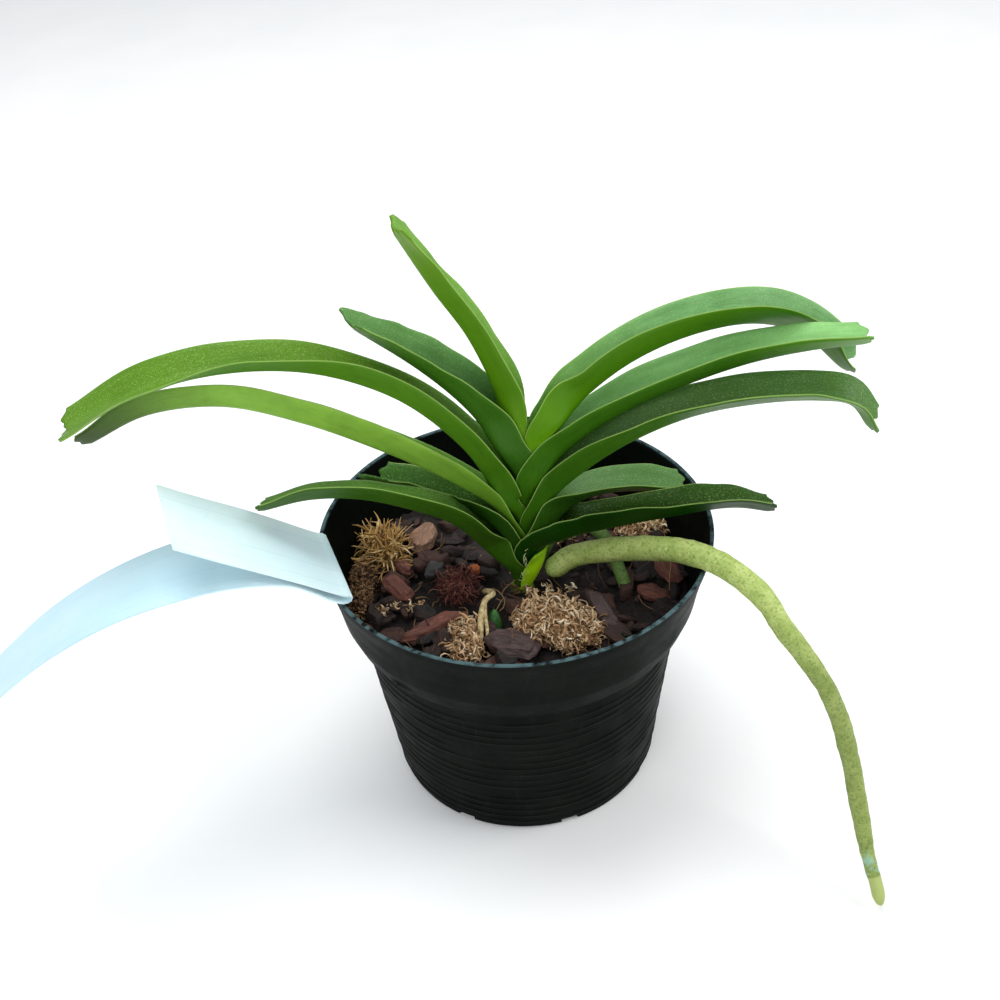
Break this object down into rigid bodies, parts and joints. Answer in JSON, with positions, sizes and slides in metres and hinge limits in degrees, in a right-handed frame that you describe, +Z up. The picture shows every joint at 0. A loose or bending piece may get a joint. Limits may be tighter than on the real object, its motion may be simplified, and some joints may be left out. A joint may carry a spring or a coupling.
{
  "type": "potted vanda orchid",
  "caption": "Young strap-leaved orchid in a round black plastic nursery pot of bark and moss, with a long aerial root over the rim and a blank label.",
  "frame": {"origin": "middle of the pot's flat underside", "axes": "+Z up, +X to the side that the long aerial root hangs over, -Y to the front"},
  "size_m": [0.2344, 0.1254, 0.1668],
  "materials": {
    "pot": "black moulded nursery plastic, faint satin sheen",
    "leaf": "thick waxy strap leaf, green",
    "young_leaf": "thick waxy strap leaf, fresh yellow-green",
    "dark_leaf": "thick waxy strap leaf, deep green",
    "root": "corky aerial root skin, pale yellow-green, matt",
    "green_root": "young root skin, green",
    "shoot": "small dark green shoot",
    "straw": "dry pale stalk and rootlets",
    "label": "blank very pale blue-white plastic strip",
    "potting_bark": "coarse dark damp bark and fibre",
    "red_bark": "red-brown bark",
    "purple_bark": "smooth purple-brown bark",
    "grey_bark": "weathered grey bark",
    "tan_bark": "tan bark",
    "moss": "dry golden curled moss fibre",
    "brown_moss": "dry brown moss and coir fibre"
  },
  "bodies": {
    "root": {"pot": "pot", "leaf_left_1": "young_leaf", "leaf_left_2": "leaf", "leaf_left_3": "leaf", "leaf_left_4": "young_leaf", "leaf_left_5": "dark_leaf", "leaf_left_6": "leaf", "leaf_right_1": "young_leaf", "leaf_right_2": "leaf", "leaf_right_3": "leaf", "leaf_right_4": "dark_leaf", "leaf_right_5": "dark_leaf", "old_leaf_base": "young_leaf", "stem": "young_leaf", "aerial_root": "root", "second_root": "green_root", "side_shoot": "shoot", "dry_straw": "straw", "back_rootlets": "straw", "plant_label": "label", "bark_strip": "red_bark", "bark_chip_front": "purple_bark", "bark_chip_pink": "red_bark", "bark_chip_red": "red_bark", "bark_chip_grey": "grey_bark", "bark_chip_tan": "tan_bark", "bark_chip_right": "purple_bark", "bark_chip_right_low": "red_bark", "bark_chip_right_high": "red_bark", "bark_chip_orange": "tan_bark", "moss_front": "moss", "moss_front_left": "moss", "moss_left": "brown_moss", "moss_left_tuft": "moss", "moss_maroon": "brown_moss", "moss_back": "moss", "moss_middle": "brown_moss", "potting_bark": "potting_bark"}
  },
  "joints": []
}
